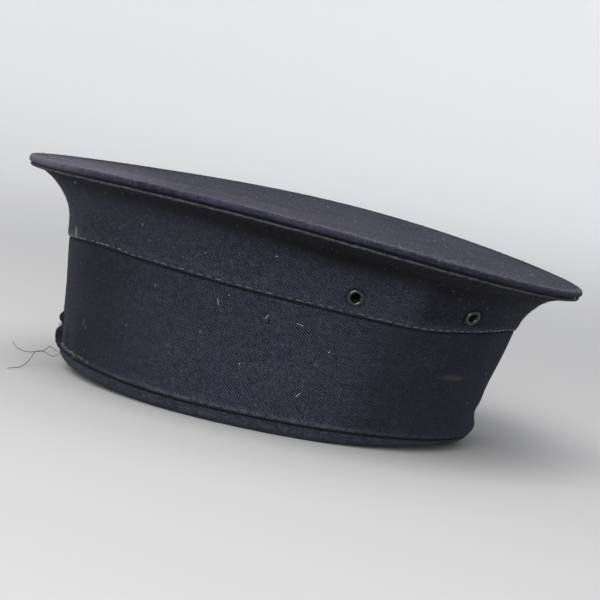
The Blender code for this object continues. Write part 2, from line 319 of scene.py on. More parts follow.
def wallDirections(points):
    # unit vectors round the wall, up it and out of it, from the grid's own neighbours
    around = unit(np.roll(points, -1, axis=0) - np.roll(points, 1, axis=0))
    up = unit(np.gradient(points, axis=1))
    outward = unit(np.cross(around, up))
    return around, up, outward * np.sign((outward[..., :2] * points[..., :2]).sum(axis=-1).mean())


# Meshes from grids

def facesOutward(points, faces):
    # a closed surface faces out when the volumes from the origin to its faces add up to more than nothing
    corners = points[faces]
    crossed = np.cross(corners[:, 1], corners[:, 2]) + np.cross(corners[:, 2], corners[:, 3])
    return (corners[:, 0] * crossed).sum() > 0


def placed(name, data):
    # an object at the origin, linked into the scene
    made = bpy.data.objects.new(name, data)
    bpy.context.scene.collection.objects.link(made)
    return made


def clothObject(name, points, faces, uvs, material, attributes, nodes=(), fans=None, fanUvs=None):
    # points as rows of x, y, z; faces as rows of four corners; uvs for each face corner; fans are the
    # triangles that close a grid's two ends
    if fans is None and not facesOutward(points, faces):
        faces = faces[:, ::-1]
        uvs = None if uvs is None else uvs.reshape(-1, 4, 2)[:, ::-1]
    corners, starts = faces.ravel(), np.arange(len(faces)) * 4
    if fans is not None:
        starts = np.append(starts, len(corners) + np.arange(len(fans)) * 3)
        corners = np.append(corners, fans.ravel())
        uvs = np.concatenate([uvs.reshape(-1, 2), fanUvs])
    mesh = bpy.data.meshes.new(name)
    mesh.vertices.add(len(points))
    mesh.vertices.foreach_set("co", points.astype(np.float32).ravel())
    mesh.loops.add(len(corners))
    mesh.loops.foreach_set("vertex_index", corners.astype(np.int32))
    mesh.polygons.add(len(starts))
    mesh.polygons.foreach_set("loop_start", starts.astype(np.int32))
    mesh.polygons.foreach_set("use_smooth", np.ones(len(starts), bool))
    mesh.update(calc_edges=True)
    if uvs is not None:
        mesh.uv_layers.new(name="cloth").data.foreach_set("uv", uvs.astype(np.float32).ravel())
    for key, values in attributes.items():
        layer = mesh.attributes.new(key, "FLOAT", "POINT")
        layer.data.foreach_set("value", values.astype(np.float32).ravel())
    mesh.validate()
    mesh.materials.append(material)
    piece = placed(name, mesh)
    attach(piece, "root")
    if nodes:
        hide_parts(*nodes)
    print("made", name, len(points), "points", len(starts), "faces")
    return piece


def gridFaces(columns, rows, closedRows):
    # quads of a grid that closes round its columns, and round its rows too if asked
    column, row = np.meshgrid(np.arange(columns), np.arange(rows if closedRows else rows - 1), indexing="ij")
    nextColumn, nextRow = (column + 1) % columns, (row + 1) % rows
    left, right = column * rows, nextColumn * rows
    faces = np.stack([left + row, right + row, right + nextRow, left + nextRow], axis=-1).reshape(-1, 4)
    turned = np.stack([column, row, column + 1, row + 1], axis=-1).reshape(-1, 4)
    return faces, turned


def ringUvs(turned, roundLength, crossLengths):
    # metres round the loop and metres along its section, for the four corners of each face
    across = np.append(crossLengths, crossLengths[-1] + (crossLengths[-1] - crossLengths[-2]))
    left, right = turned[:, 0] * roundLength, turned[:, 2] * roundLength
    low, high = across[turned[:, 1]], across[turned[:, 3]]
    return np.stack([left, low, right, low, right, high, left, high], axis=-1)


def shellSection(outer, wall, innerRows, roundSteps=4):
    # Wraps a wall round an open outer face: up its outside, over a half-round edge, down its inside and under
    # another. Each step is the outer row that it hangs on, its depth as a share of the wall, and how far it
    # reaches past the edge.
    rows = outer.shape[1]
    turn = np.linspace(0, math.pi, roundSteps + 2)[1:-1]
    inside = np.unique(np.linspace(0, rows - 1, innerRows).round().astype(int))[::-1]
    hang = np.concatenate([np.arange(rows), np.full(roundSteps, rows - 1), inside, np.zeros(roundSteps, int)])
    depth = np.concatenate([np.zeros(rows), (1 - np.cos(turn)) / 2, np.ones(len(inside)),
                            (1 - np.cos(turn[::-1])) / 2])
    past = np.concatenate([np.zeros(rows), np.sin(turn) / 2, np.zeros(len(inside)), -np.sin(turn[::-1]) / 2])
    around, up, outward = wallDirections(outer)
    section = outer[:, hang] - outward[:, hang] * (depth * wall)[None, :, None]
    section = section + up[:, hang] * (past * wall)[None, :, None]
    return section, hang, depth


def ringPiece(name, outer, wall, material, innerRows, attributes, nodes):
    # a closed wall from an outer face, with its UV map laid out in metres
    section, hang, depth = shellSection(outer, wall, innerRows)
    columns, rows = section.shape[:2]
    faces, turned = gridFaces(columns, rows, True)
    steps = np.linalg.norm(np.diff(section, axis=1), axis=-1).mean(axis=0)
    crossLengths = np.concatenate([[0], np.cumsum(steps)])
    middle = outer[:, outer.shape[1] // 2]
    roundLength = np.linalg.norm(middle - np.roll(middle, 1, axis=0), axis=-1).sum() / columns
    values = {key: np.where(depth[None, :] > 0.5, 0.0, np.broadcast_to(value, outer.shape[:2])[:, hang])
              for key, value in attributes.items()}
    uvs = ringUvs(turned, roundLength, crossLengths)
    return clothObject(name, section.reshape(-1, 3), faces, uvs, material, values, nodes)


columnCount = 960
roundAngles = np.arange(columnCount) * fullTurn / columnCount
angleGrid = roundAngles[:, None]
# Stains and patches of painted light and shade are a middle, sizes, a tint and a strength
bandStainsAndShade = [((0.047, 0.088, 0.0367), (0.012, 0.009, 0.0018), (0.050, 0.036, 0.030), 0.55),
              ((0.0734, -0.057, 0.0085), (0.006, 0.006, 0.0015), (0.020, 0.050, 0.030), 0.5),
              # painted shade: a dark patch over the band's front left
              ((0.0420, -0.092, 0.0350), (0.020, 0.020, 0.020), (0.004, 0.004, 0.006), 0.35)]
crownStains = [((0.0466, -0.0982, 0.0680), (0.0036, 0.0036, 0.0036), (0.120, 0.140, 0.055), 0.70),
               ((0.0400, -0.1010, 0.0660), (0.0040, 0.0040, 0.0040), (0.060, 0.060, 0.050), 0.40)]
# the first top patch is pale dust at the front, made stronger as painted light
topStainsLightAndShade = [((0.034, -0.110, 0.100), (0.105, 0.062, 0.03), (0.120, 0.108, 0.140), 0.34),
             # painted shade: a dark patch over the top's rear
             ((0.020, 0.100, 0.075), (0.110, 0.060, 0.03), (0.008, 0.008, 0.012), 0.50),
             ((0.020, -0.020, 0.095), (0.100, 0.070, 0.02), (0.055, 0.051, 0.066), 0.20)]
materials = {
    "band": serge("bandSerge", stains=bandStainsAndShade),
    # painted light: the crown side's serge is lighter than the band's, for the flare that turns down from the
    # lamps
    "crown": serge("crownSergeWithPaintedLight", contrast=1.15, light=(0.0285, 0.0315, 0.0475), stains=crownStains),
    "top": serge("topSerge", twillTurn=20.0, contrast=0.70, light=(0.0232, 0.0212, 0.0425), coarse=1.4,
                 stains=topStainsLightAndShade),
    "binding": serge("bindingSerge", twillTurn=30.0, contrast=1.0),
    "welt": serge("weltSerge", twillTurn=45.0, contrast=0.5, light=(0.0170, 0.0190, 0.0290)),
}


def seamDents(height, spread):
    # where the seam rises and falls, as bumps of the band or the crown side: angle, its spread and the rise
    return [(angle, angleSpread, height, spread, 0, rise) for angle, angleSpread, rise in
            ((14, 12, 0.0012), (47, 10, -0.0010), (74, 14, 0.0005), (135, 12, 0.0008))]


# Band: the upright wall, from its rolled lower edge up behind the crown side's lap
bandLook = {
    "wall": 0.0022, "roll": 0.0034, "rollDepth": 0.0006, "setIn": 0.0010, "lap": 0.006, "rows": 54,
    "frontRadius": 0.105, "pucker": 0.00007, "puckers": 210,
    # angle, its spread, height, its spread, outward, upward
    "dents": [(4, 20, 0.42, 0.28, -0.0019, 0), (4, 24, 0.20, 0.07, -0.0012, 0),
              (4, 24, 0.07, 0.04, 0.0008, 0),
              (100, 22, 0.5, 0.3, -0.0007, 0), (140, 16, 0.35, 0.25, 0.0005, 0),
              (70, 10, 0.75, 0.2, -0.0004, 0), (160, 18, 0.35, 0.6, -0.0010, 0), *seamDents(1.0, 0.3)],
    # lumps of drawn-up cloth at the front: angle, height, half width, half height, outward
    "lumps": [(160.5, 0.0250, 0.0024, 0.0024, 0.0020), (161.0, 0.0165, 0.0030, 0.0040, 0.0031),
              (159.0, 0.0115, 0.0030, 0.0024, 0.0016), (152.0, 0.0170, 0.0050, 0.0050, 0.0006)],
    # waves round, waves up, depth, phase
    "waves": [(5, 0.3, 0.00025, 0.4), (9, -0.5, 0.00014, 2.1), (17, 0.7, 0.00008, 1.0),
              (31, 1.3, 0.00004, 3.0)],
    # strengths, and where they begin and end or their middle and spread
    "rollWear": (0.55, 0.00153, 0.0009), "foldShade": (0.75, 0, 0.0006), "frontShade": (0.60, 104, 142),
    "rearShade": (0.38, 66, 48), "lapShade": 0.6,
}


def bandFace(angles, shares, offset=0.0, raised=0.0):
    # a straight wall from the head loop to the seam loop, with soft dents and waviness
    low = loopPoints(headLoop, angles, offset, bindingLook["height"] + gap + edgeClimb(angles))
    high = loopPoints(seamLoop, angles, offset)
    points = low + (high - low) * np.asarray(shares)[..., None]
    points[..., 2] += raised
    return dented(points, bandLook, angles, shares)


def makeBand():
    # rows climb the rolled edge and then the wall. Most of a half sine makes the roll, a cosine round times
    # a bell up the stitch puckers, and flat-topped bumps the lumps; three rows step in and up under the lap.
    look = bandLook
    faceHeight = seamLoop["height"] - bindingLook["height"] - gap
    heights = np.concatenate([np.linspace(0, look["roll"], 9)[:-1],
                              np.linspace(look["roll"], faceHeight - look["setIn"] - gap, look["rows"] - 9)])
    shares = heights / faceHeight
    rollBulge = look["rollDepth"] * np.sin(np.clip(heights / look["roll"], 0, 1) * math.pi * 0.85) ** 0.8
    points = bandFace(angleGrid, shares[None, :])
    outward, rise = levelOut(points), points[..., 2]
    for angle, height, halfWidth, halfHeight, out in look["lumps"]:
        beside = np.radians(np.degrees(angleGrid) - angle) * look["frontRadius"] / halfWidth
        rollBulge = rollBulge + out * np.exp(-beside ** 4 - ((rise - height) / halfHeight) ** 4)
    puckers = look["pucker"] * np.cos(angleGrid * look["puckers"]) * bell(heights, look["roll"] * 1.1, 0.0012)
    points = points + outward * (rollBulge + puckers)[..., None]
    shoulder = bandFace(angleGrid, np.full((1, 3), 1.0), np.array([[-0.4, -1.0, -1.0]]) * look["setIn"],
                        np.array([[-0.6 * gap - look["setIn"] * 0.4, -gap, look["lap"]]]))
    points = np.concatenate([points, shoulder], axis=1)
    points[:, 0] -= outward[:, 0] * look["rollDepth"]
    upTo = len(heights)
    # painted shade: under the crown side's lap, in the fold above the binding, and towards the front and the
    # rear
    wear, paintedShade = np.zeros(points.shape[:2]), np.full(points.shape[:2], look["lapShade"])
    wear[:, :upTo] = humped(heights, *look["rollWear"])
    turned = turnedFromRear(angleGrid)
    paintedShade[:, :upTo] = (humped(heights, *look["foldShade"]) + ramped(turned, *look["frontShade"])
                       + ramped(turned, *look["rearShade"]))
    return ringPiece("bandCloth", points, look["wall"], materials["band"], 14, {"wear": wear, "paintedShade": paintedShade},
                     ["band"])


# Binding: the strip folded under the band's lower edge, on which the cap stands
def makeBinding():
    # the head loop at each height of the folded section, set in by its depth; its lower edge climbs at the
    # front and is trimmed at the rear
    look = bindingLook
    places = np.linspace(0, 1, len(look["heightRows"]))
    shares = np.linspace(0, 1, 30)[::-1]
    heights = np.clip(softRows(shares, places, look["heightRows"]), 0, 1) * look["height"]
    offsets = -look["setIn"] - look["tuck"] * softRows(shares, places, look["tuckRows"])
    trim = look["rearTrim"] * (1 - smoothStep(turnedFromRear(angleGrid), *look["trimFrom"]))
    raised = heights + edgeClimb(angleGrid) + trim * (1 - heights / look["height"])
    points = loopPoints(headLoop, angleGrid, offsets[None, :], raised)
    uneven = waver(angleGrid, shares[None, :], look["waves"]) * smoothStep(heights, 0.0, 0.003)
    points = points + levelOut(points) * uneven[..., None]
    wear = humped(heights, *look["wear"])
    # painted shade along the binding's top, in the groove under the band
    paintedShade = ramped(heights / look["height"], *look["paintedShade"])
    return ringPiece("bindingCloth", points, look["wall"], materials["binding"], 10,
                     {"wear": wear, "paintedShade": paintedShade}, ["base_binding"])


# Crown side: flares from the seam to the top's edge roll, and has a hole behind each eyelet
crownLook = {
    "wall": 0.0015, "step": 0.0009, "rise": 0.030, "rows": 60, "stitchPitch": 0.0042, "stitchHeight": 0.0011,
    "heights": (0.00, 0.22, 0.42, 0.60, 0.75, 0.87, 0.96, 1.00),
    "front": (0.00, 0.03, 0.10, 0.24, 0.42, 0.62, 0.85, 1.00),
    "side": (0.00, 0.04, 0.12, 0.26, 0.43, 0.62, 0.84, 1.00),
    "rear": (0.00, 0.07, 0.17, 0.30, 0.44, 0.63, 0.88, 1.00),
    "rearFrom": (0.50, 0.82), "frontFrom": (0.20, 0.95),
    "dents": [(42, 10, 0.45, 0.25, -0.0012, 0), (120, 18, 0.3, 0.3, 0.0004, 0),
              (155, 12, 0.4, 0.3, -0.0004, 0), *seamDents(0.0, 0.45)],
    "waves": [(7, 0.4, 0.00018, 1.4), (15, -0.6, 0.00010, 0.3), (29, 0.8, 0.00005, 2.2)],
    "stitchPull": (0.00016, 0.00008), "stitchSpread": 0.0009, "pucker": (0.00012, 0.0045, 0.0016),
    "puckers": 37, "ease": (0.00010, 0.80, 0.98), "eases": (141, 5),
    "foldWear": (0.5, 0, 0.0005), "stitchWear": (0.12, 0.0030, 0.0008), "rimShade": (0.92, 0.90, 0.97),
    "rearShade": (0.58, 53, 46), "rearShadeUp": (0.0, 0.20), "flareShade": (0.35, 0.60, 0.95),
    "frontShade": (0.22, 110, 150), "darkest": 0.96,
    # strength, angle, its spread, and the shares of the height where it begins and is full
    "sideShades": [(0.88, 66, 26, 0.44, 0.86), (0.70, 112, 34, 0.62, 0.94)],
}
rollLook = {"height": 0.0034, "width": 0.0036, "weltSize": 0.0013, "reach": 0.0032, "sheetRise": 0.0010,
            "meanRadius": 0.132,
            "waves": [(23, 0.5, 0.00007, 0.7), (61, 0.3, 0.00005, 0.1), (97, 0.9, 0.00004, 2.6)],
            "weltWearAndHighlight": 0.6,
            "weltWaves": [(31, 0, 0.00006, 0.3), (83, 0, 0.00004, 1.9), (149, 0, 0.00003, 0.8)]}
eyeletLook = {
    "size": 0.0080, "bore": 0.0043, "metal": 0.0004, "crown": 0.0009, "back": 0.0066,
    "press": (0.00030, 0.0055), "ringShade": (0.7, 0.0047),
    "places": {"side": (65.8, 0.0080), "rear": (33.5, 0.0076)},
}


def crownTopEnd(angles):
    # the crown side's upper end: the crown loop moved in by half the roll and most of the welt, and
    # down by half of each
    inward = rollLook["width"] / 2 + rollLook["weltSize"] * 0.9 + gap
    below = rollLook["height"] / 2 + gap + rollLook["weltSize"] / 2
    return loopPoints(crownLoop, angles, -inward, -below)


def crownFace(angles, shares):
    # from the seam loop to just inside the welt; the share of the way out follows three soft tables
    look = crownLook
    low, high = loopPoints(seamLoop, angles, look["step"]), crownTopEnd(angles)
    front, side, rear = (softRows(shares, look["heights"], look[key]) for key in ("front", "side", "rear"))
    toRear = smoothStep(np.cos(angles), *look["rearFrom"])
    toFront = smoothStep(-np.cos(angles), *look["frontFrom"])
    reach = side + (rear - side) * toRear + (front - side) * toFront
    points = low + (high - low) * reach[..., None]
    points[..., 2] = low[..., 2] + (high - low)[..., 2] * shares
    return dented(points, look, angles, shares)


def faceFrames(face, angles, shares):
    # places on the band or the crown side and the directions round it, up it and out of it
    here = face(angles, shares)
    around = unit(face(angles + 0.002, shares) - face(angles - 0.002, shares))
    up = unit(face(angles, shares + 0.01) - face(angles, shares - 0.01))
    if face is crownFace:
        # the eyelets' bores need square directions
        up = unit(up - around * (up * around).sum(-1, keepdims=True))
    outward = np.cross(around, up)
    return here, around, up, outward * np.sign((outward[..., :2] * here[..., :2]).sum(-1, keepdims=True))


def eyeletFrames():
    # name: (middle, round, up, out) for the four eyelets
    found = {}
    for sideName, side in (("left", 1), ("right", -1)):
        for name, (angle, height) in eyeletLook["places"].items():
            turn = np.array([math.radians(angle) * side])
            rise = (crownTopEnd(turn) - loopPoints(seamLoop, turn, crownLook["step"]))[0, 2]
            frames = faceFrames(crownFace, turn, np.array([height / rise]))
            found[f"eyelet_{sideName}_{name}"] = [part[0] for part in frames]
    return found


def makeCrownSide():
    # the crown face, drawn in along its stitches by bells times cosines, and pressed in round each eyelet
    # by the fourth power of the distance from it
    look = crownLook
    shares = np.linspace(look["wall"] / 2 / look["rise"], 1, look["rows"])
    points = crownFace(angleGrid, shares[None, :] + 0 * angleGrid)
    heights = shares * look["rise"]
    stitches = round(threadLook["seamLength"] / look["stitchPitch"])
    around, up, outward = wallDirections(points)
    # the topstitching draws the cloth in, with soft puckers above it, and the cloth is eased under the rim
    pull, change = look["stitchPull"]
    depth = bell(heights, look["stitchHeight"], look["stitchSpread"])
    depth = depth * (pull + change * np.cos(angleGrid * stitches))
    depth = depth - humped(heights, *look["pucker"]) * np.cos(angleGrid * look["puckers"] + 1.0)
    eases, swings = look["eases"]
    ease = ramped(shares, *look["ease"]) * np.cos(angleGrid * eases + 2 * np.sin(angleGrid * swings))
    points = points - outward * (depth + ease)[..., None]
    # the cloth is pressed in round each eyelet, and a ring of painted shadow is laid round each
    pressDepth, pressReach = eyeletLook["press"]
    ringShade, ringReach = eyeletLook["ringShade"]
    eyeletShadowMask = 0
    for frames in eyeletFrames().values():
        distance = np.linalg.norm(points - frames[0], axis=-1)
        eyeletShadowMask = eyeletShadowMask + np.exp(-((distance / ringReach) ** 6))
        points = points - outward * (pressDepth * np.exp(-(distance / pressReach) ** 4))[..., None]
    wear = humped(heights, *look["foldWear"]) + humped(heights, *look["stitchWear"])
    turned = turnedFromRear(angleGrid)
    # painted shade: under the rim and down the flare, high on the sides, and towards the rear and the front
    paintedShade = (ramped(turned, *look["rearShade"]) * smoothStep(shares, *look["rearShadeUp"])
             + ramped(turned, *look["frontShade"]) + ramped(shares, *look["flareShade"])
             + ramped(shares, *look["rimShade"]))
    for strength, angle, spread, low, high in look["sideShades"]:
        paintedShade = paintedShade + humped(turned, strength, angle, spread) * smoothStep(shares, low, high)
    paintedShade = np.clip(paintedShade + ringShade * eyeletShadowMask, 0, look["darkest"])
    piece = ringPiece("crownSideCloth", points, look["wall"], materials["crown"], 14,
                      {"wear": wear, "paintedShade": paintedShade}, ["crown_side"])
    cutEyeletHoles(piece)
    return piece


def cutEyeletHoles(piece):
    # round holes for the eyelets' barrels, cut through the wall and then applied
    radius = eyeletLook["bore"] / 2 + eyeletLook["metal"] + gap
    for name, (middle, across, rise, out) in eyeletFrames().items():
        bpy.ops.mesh.primitive_cylinder_add(vertices=32, radius=radius, depth=0.012)
        cutter = bpy.context.object
        turn = Matrix(np.column_stack([across, np.cross(out, across), out]).tolist()).to_4x4()
        cutter.data.transform(Matrix.Translation(Vector(middle.tolist())) @ turn)
        cut = piece.modifiers.new(name, "BOOLEAN")
        cut.operation = "DIFFERENCE"
        cut.object = cutter
        cut.solver = "EXACT"
        bpy.context.view_layer.objects.active = piece
        bpy.ops.object.modifier_apply(modifier=cut.name)
        bpy.data.objects.remove(cutter)
    print("cut eyelet holes in", piece.name)


# Top: a flat sheet that sags a little, its edge rolled over and stitched against the welt
topLook = {"dish": 0.0015, "wall": 0.0018, "ringCount": 46, "underRings": 8, "rollSteps": 30,
           "waves": [(3, 0.7, 0.0004, 0.5), (4, 1.6, 0.00025, 2.0), (7, 2.3, 0.00012, 1.1)],
           # strengths with shares of the way out, and on the roll with turns in radians from level
           "flatWear": 0.05, "rimWear": (0.16, 0.965, 0.995), "rollWear": (0.80, math.radians(72), 0.22),
           "upperPaintedLight": (0.08, -0.75, -0.1), "innerPaintedLight": (0.25, 1.5, 1.9),
           "outerShade": (0.22, 0.9, 0.1), "lowShade": (0.75, -0.30, -0.85), "insideShade": 0.5}


def topPlaces(rim, angles, shares):
    # places between the flat top's middle and its rim: the slope of the rim's best plane, plus what the rim
    # rises above it times the share squared, less a sag that is deepest in the middle, plus soft waves
    whole = loopPoints(crownLoop, angleGrid[:, 0], -rollLook["reach"])
    middle = whole.mean(axis=0)
    slope = np.linalg.lstsq(whole[:, :2] - middle[:2], whole[:, 2] - middle[2], rcond=None)[0]
    offset = rim - middle
    flat = offset[..., :2] * shares[..., None]
    rest = (offset[..., 2] - offset[..., :2] @ slope) * shares ** 2
    soft = waver(angles, shares, topLook["waves"]) * shares ** 2 * (1 - shares) * 6.75
    heights = middle[2] + flat @ slope + rest - topLook["dish"] * (1 - shares ** 2) + soft
    return np.concatenate([middle[:2] + flat, heights[..., None]], axis=-1)


def rollSection(turns):
    # an oval section whose outermost point lies on the loop: out by cosine, up by sine
    return rollLook["width"] / 2 * (np.cos(turns) - 1), rollLook["height"] / 2 * np.sin(turns)


def makeTop():
    # rings of the flat sheet from its middle outwards, then the oval section of the roll, then rings back
    # in under the sheet
    look = topLook
    sheetTop = rollLook["sheetRise"]
    rim = loopPoints(crownLoop, angleGrid[:, 0], -rollLook["reach"])
    middle = rim.mean(axis=0)

    def ring(shares, raised):
        # rings between the middle and the rim, raised by the given height
        return topPlaces(rim[:, None], angleGrid, shares[None, :]) + (0, 0, raised)

    topShares = 1 - (1 - np.linspace(0.012, 0.995, look["ringCount"])) ** 1.25
    turn = np.radians(np.linspace(140, -150, look["rollSteps"]))
    out, up = rollSection(turn)
    # the roll is fuller above than below, and its outer face is a little flat
    roll = loopPoints(crownLoop, angleGrid, np.where(turn > 0, out * 0.94, out)[None, :], up[None, :])
    uneven = waver(angleGrid, turn[None, :] / math.pi, rollLook["waves"])
    roll = roll + levelOut(roll) * uneven[..., None]
    underShares = np.linspace(0.985, 0.012, look["underRings"])
    under = ring(underShares, sheetTop - look["wall"])
    rings = np.concatenate([ring(topShares, sheetTop), roll, under], axis=1)
    rows = rings.shape[1]
    faces, turned = gridFaces(columnCount, rows, False)
    # the flat top's UV map is its plan, and the roll's continues outwards from it
    steps = np.linalg.norm(np.diff(rings, axis=1), axis=-1)
    reach = np.concatenate([np.zeros((columnCount, 1)), np.cumsum(steps, axis=1)], axis=1)
    reach = reach + np.linalg.norm((rings[:, :1] - middle)[..., :2], axis=-1)
    plan = (unit((rim - middle)[:, None, :2]) * reach[..., None]).reshape(-1, 2)
    # two middle points and the fans of triangles that close the sheet there, above and below
    centres = middle + np.outer([sheetTop - look["dish"], sheetTop - look["dish"] - look["wall"]], [0, 0, 1])
    points = np.concatenate([rings.reshape(-1, 3), centres])
    count = columnCount * rows
    column = np.arange(columnCount) * rows
    after, last = np.roll(column, -1), rows - 1
    fans = np.concatenate([np.stack([after, column, 0 * column + count], -1),
                           np.stack([column + last, after + last, 0 * column + count + 1], -1)])
    fanUvs = np.concatenate([plan, [[0, 0], [0, 0]]])[fans.ravel()]
    wear = np.zeros((columnCount, rows))
    first = len(topShares)
    onRoll = slice(first, first + len(turn))
    # the roll's ridge is rubbed pale; painted light lifts the roll's upper part and its inner side
    wear[:, onRoll] = (humped(turn, *look["rollWear"]) + ramped(turn, *look["upperPaintedLight"])
                       + ramped(turn, *look["innerPaintedLight"]))
    wear[:, :first] = ramped(topShares, *look["rimWear"]) + look["flatWear"]
    # painted shade on the roll's lower face, in the groove under it, and under the sheet
    paintedShade = np.zeros((columnCount, rows))
    paintedShade[:, onRoll] = ramped(turn, *look["outerShade"]) + ramped(turn, *look["lowShade"])
    paintedShade[:, first + len(turn):] = look["insideShade"]
    attributes = {"wear": np.append(wear, [look["flatWear"], 0]),
                  "paintedShade": np.append(paintedShade, [0, look["insideShade"]])}
    return clothObject("crownTopCloth", points, faces, plan[faces], materials["top"], attributes,
                       ["crown_top"], fans, fanUvs)


# Welt: a thin cord of cloth under the edge roll
def makeWelt():
    # a circle carried round the crown loop, inside and under the roll, with a little waviness
    turn = np.arange(14) * fullTurn / 14
    size = rollLook["weltSize"] / 2
    inward, below = rollLook["width"] / 2, rollLook["height"] / 2 + gap + size
    uneven = waver(angleGrid, 0 * angleGrid, rollLook["weltWaves"])
    points = loopPoints(crownLoop, angleGrid, -inward + uneven + size * np.cos(turn)[None, :],
                        -below + size * np.sin(turn)[None, :] + uneven * 0.5)
    faces, turned = gridFaces(columnCount, len(turn), True)
    crossLengths = np.arange(len(turn)) * size * fullTurn / len(turn)
    roundLength = fullTurn * rollLook["meanRadius"] / columnCount
    # the welt's outer face is paler: worn nap and a painted highlight
    rubbedAndLit = rollLook["weltWearAndHighlight"] * np.clip(np.cos(turn - 0.2), 0, 1) ** 1.2
    wear = rubbedAndLit[None, :] * np.ones((columnCount, 1))
    return clothObject("weltCloth", points.reshape(-1, 3), faces, ringUvs(turned, roundLength, crossLengths),
                       materials["welt"], {"wear": wear, "paintedShade": 0 * wear}, ["rim_welt"])


# Eyelets: rolled metal rings, black enamel worn to grey
def eyeletMaterial():
    # near-black enamel, greyer and rougher where fine noise is high
    material, start = newMaterial("eyeletEnamel")
    scratch = start.objectPlace().noise(2600.0, 3.0, 0.6)
    worn = scratch.between(0.52, 0.66)
    return finished(material, {
        "Base Color": worn.tinted((0.004, 0.005, 0.005), (0.022, 0.028, 0.025)),
        "Roughness": 0.30 + worn * 0.12, "Normal": scratch.bump(0.25, 0.0001), "Coat Weight": 0.45,
        "Coat Roughness": 0.07, "Specular IOR Level": 0.25})


def makeEyelets():
    # one closed profile of radius and height, turned round each eyelet's own axis
    look = eyeletLook
    bore, face, back, metal = look["bore"] / 2, look["size"] / 2, look["back"] / 2, look["metal"]
    middle, half = (bore + face) / 2, (face - bore) / 2
    seat, inside = -0.00008, -crownLook["wall"] - gap
    arc = np.linspace(math.pi, 0, 13)
    # the section runs over the rolled face, under its flange, down the barrel, round the back roll and up
    radius = np.concatenate([middle + half * np.cos(arc), [face - metal, bore + metal, bore + metal, back],
                             [back - metal * 0.5, (back + bore) / 2, bore + metal * 0.3, bore]])
    height = np.concatenate([seat + look["crown"] * np.sin(arc) ** 0.8, np.full(2, seat - 0.0001),
                             inside - metal * np.array([0, 0, 1.0, 1.8, 1.2, 0])])
    turn = np.arange(48) * fullTurn / 48
    material = eyeletMaterial()
    for name, (centre, across, rise, out) in eyeletFrames().items():
        spin = np.cos(turn)[:, None, None] * across + np.sin(turn)[:, None, None] * np.cross(out, across)
        points = centre + spin * radius[None, :, None] + height[None, :, None] * out
        faces, turned = gridFaces(len(turn), len(radius), True)
        clothObject(name.replace("eyelet_", "eyeletRing_"), points.reshape(-1, 3), faces[:, ::-1], None,
                    material, {}, [name])


# Threads: topstitches along the crown side's fold, the frayed row at the front, and one loose knotted end
threadLook = {"size": 0.00020, "length": 0.0035, "seamLength": 0.63, "depth": 0.00034, "bow": 0.00028,
              "darkened": (0.7, 138, 152),
              "tints": ((0.014, 0.015, 0.018), (0.075, 0.074, 0.070))}


def threadMaterial(name, low, high):
    # a colour between two tints, mostly by the strand's tone and a little by fine noise
    material, start = newMaterial(name)
    grain = start.objectPlace().noise(3800.0, 2.0)
    tone = start.attribute("tone") * 0.8 + grain.between(0.35, 0.7) * 0.2
    return finished(material, {"Base Color": tone.tinted(low, high), "Normal": grain.bump(0.5, 0.0001),
                               "Roughness": 0.8, "Sheen Weight": 0.3})


def strandMesh(name, paths, sizes, tones, material, sides=6):
    # tubes along many short paths at once: paths is strands by points by x, y, z; each ring is turned by the
    # path's own direction, and the ends are drawn to a point
    strands, steps = paths.shape[:2]
    along = unit(np.gradient(paths, axis=1))
    guide = np.broadcast_to(np.array([0.31, 0.17, 0.93]), along.shape)
    across = unit(np.cross(along, guide))
    other = np.cross(along, across)
    turn = np.arange(sides) * fullTurn / sides
    taper = np.sin(np.linspace(0.04, 0.96, steps) * math.pi) ** 0.35
    width = sizes[:, None] * taper[None, :]
    ringOut = np.cos(turn)[:, None] * across[:, :, None, :] + np.sin(turn)[:, None] * other[:, :, None, :]
    points = paths[:, :, None, :] + ringOut * width[:, :, None, None]
    base = np.arange(strands)[:, None, None] * steps * sides
    quads = np.roll(gridFaces(steps, sides, True)[0][:(steps - 1) * sides, ::-1], 1, axis=-1)
    faces = (base + quads).reshape(-1, 4)
    # each end is closed by quads across its ring, turned to face out
    first = np.arange(sides // 2 - 1)
    near = np.stack([first, first + 1, sides - 2 - first, sides - 1 - first], -1)
    caps = base + np.concatenate([near[:, ::-1], near + (steps - 1) * sides])
    faces = np.concatenate([faces, caps.reshape(-1, 4)])
    tone = np.repeat(tones, steps * sides)
    return clothObject(name, points.reshape(-1, 3), faces, None, material, {"tone": tone})


def makeTopstitches():
    # each stitch is a short parabola along the crown side's fold, leaning a little at random
    look = threadLook
    count = round(look["seamLength"] / crownLook["stitchPitch"])
    angles = (np.arange(count) + 0.5) * fullTurn / count + rng.normal(0, 0.0009, count)
    shares = np.full(count, crownLook["stitchHeight"] / crownLook["rise"]) + rng.normal(0, 0.004, count)
    here, around, up, outward = faceFrames(crownFace, angles, shares)
    steps = np.linspace(-0.5, 0.5, 9)
    length = look["length"] * rng.uniform(0.85, 1.1, count)
    lean = rng.normal(0, 0.05, count)
    bow = 1 - (2 * steps) ** 2
    depths = -look["depth"] - np.abs(rng.normal(0, 0.00008, count))
    along = (around + up * lean[:, None])[:, None] * (steps[None, :] * length[:, None])[..., None]
    above = depths[:, None] + look["bow"] * bow[None, :]
    paths = here[:, None] + along + outward[:, None] * above[..., None]
    # the thread has darkened at the front
    darkened = 1 - ramped(turnedFromRear(angles), *look["darkened"])
    tones = np.clip(rng.beta(1.3, 3.6, count) + 0.10, 0, 1) * darkened
    return strandMesh("seamTopstitches", paths, np.full(count, look["size"]), tones,
                      threadMaterial("stitchThread", *look["tints"]))


